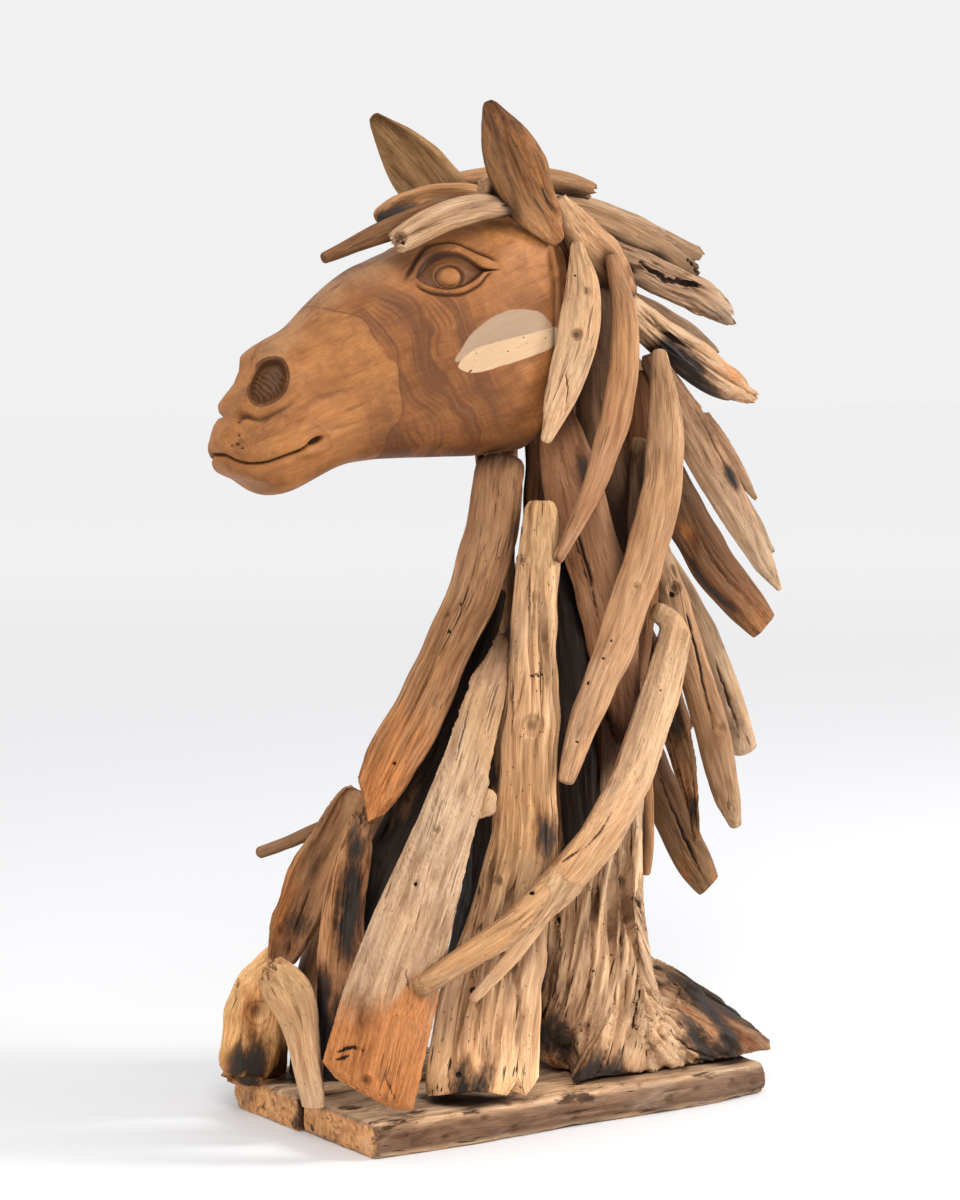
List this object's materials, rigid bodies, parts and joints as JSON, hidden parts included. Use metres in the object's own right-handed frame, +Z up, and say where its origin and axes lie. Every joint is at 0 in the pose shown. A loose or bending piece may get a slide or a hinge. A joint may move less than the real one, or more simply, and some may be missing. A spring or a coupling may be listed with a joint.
{
  "type": "driftwood horse head sculpture",
  "caption": "Free-standing horse head and neck assembled from driftwood sticks and roots, with a carved wooden face, on a base of two waney boards.",
  "frame": {"origin": "on the floor under the base, on the underside of the right board, 6 mm from the joint between the two boards", "axes": "+Z up, the horse faces -X, and its left side is -Y"},
  "size_m": [0.6998, 0.3093, 0.994],
  "materials": {
    "carved_teak": "carved and oiled, satin, with gouge marks and growth lines",
    "pale_driftwood": "sun-bleached and dry, with long open grain and cracks",
    "tan_driftwood": "weathered, dry, worn smooth on the ridges",
    "brown_driftwood": "dark weathered heartwood, rough and fibrous",
    "charred_driftwood": "blackened, nearly matt",
    "base_board": "flat-sawn planks with bark edges, dry and stained"
  },
  "bodies": {
    "root": {"base_board_left": "base_board", "base_board_right": "base_board", "branch_forked": "pale_driftwood", "charred_plank": "charred_driftwood", "charred_strip": "charred_driftwood", "cheek_lock_left": "pale_driftwood", "cheek_lock_right": "tan_driftwood", "chest_burl": "tan_driftwood", "chest_root": "pale_driftwood", "chest_slat_grooved": "tan_driftwood", "chest_slat_hollow": "brown_driftwood", "chest_slat_right": "brown_driftwood", "chest_stub": "brown_driftwood", "crest_brown": "brown_driftwood", "crest_inner": "brown_driftwood", "crest_pale": "tan_driftwood", "crest_slat": "pale_driftwood", "crest_spine": "brown_driftwood", "ear_left": "tan_driftwood", "ear_right": "pale_driftwood", "forelock_hollow": "brown_driftwood", "forelock_long": "brown_driftwood", "forelock_pale": "pale_driftwood", "head": "carved_teak", "inner_thin": "brown_driftwood", "lock_left_lower": "tan_driftwood", "lock_left_upper": "tan_driftwood", "lock_right_lower": "pale_driftwood", "lock_right_upper": "tan_driftwood", "mane_blunt": "brown_driftwood", "mane_broken_end": "tan_driftwood", "mane_flat": "tan_driftwood", "mane_forked": "tan_driftwood", "mane_grey": "brown_driftwood", "mane_hooked": "tan_driftwood", "mane_low": "brown_driftwood", "mane_poll_right": "tan_driftwood", "mane_ragged": "charred_driftwood", "mane_right_lower": "brown_driftwood", "mane_right_middle": "pale_driftwood", "mane_right_upper": "tan_driftwood", "mane_spine_tip": "tan_driftwood", "mane_split": "pale_driftwood", "mane_thin": "tan_driftwood", "mane_torn": "brown_driftwood", "neck_post_dark": "charred_driftwood", "neck_post_left": "pale_driftwood", "neck_post_right": "tan_driftwood", "neck_slat_low_right": "brown_driftwood", "neck_slat_right": "brown_driftwood", "neck_slat_wide": "brown_driftwood", "poll_stick": "tan_driftwood", "poll_wedge": "tan_driftwood", "root_strip": "brown_driftwood", "root_trunk_left": "tan_driftwood", "root_trunk_right": "tan_driftwood", "shoulder_plank_left": "pale_driftwood", "shoulder_plank_right": "pale_driftwood", "throat_slat_left": "tan_driftwood", "throat_slat_right": "tan_driftwood"}
  },
  "joints": []
}
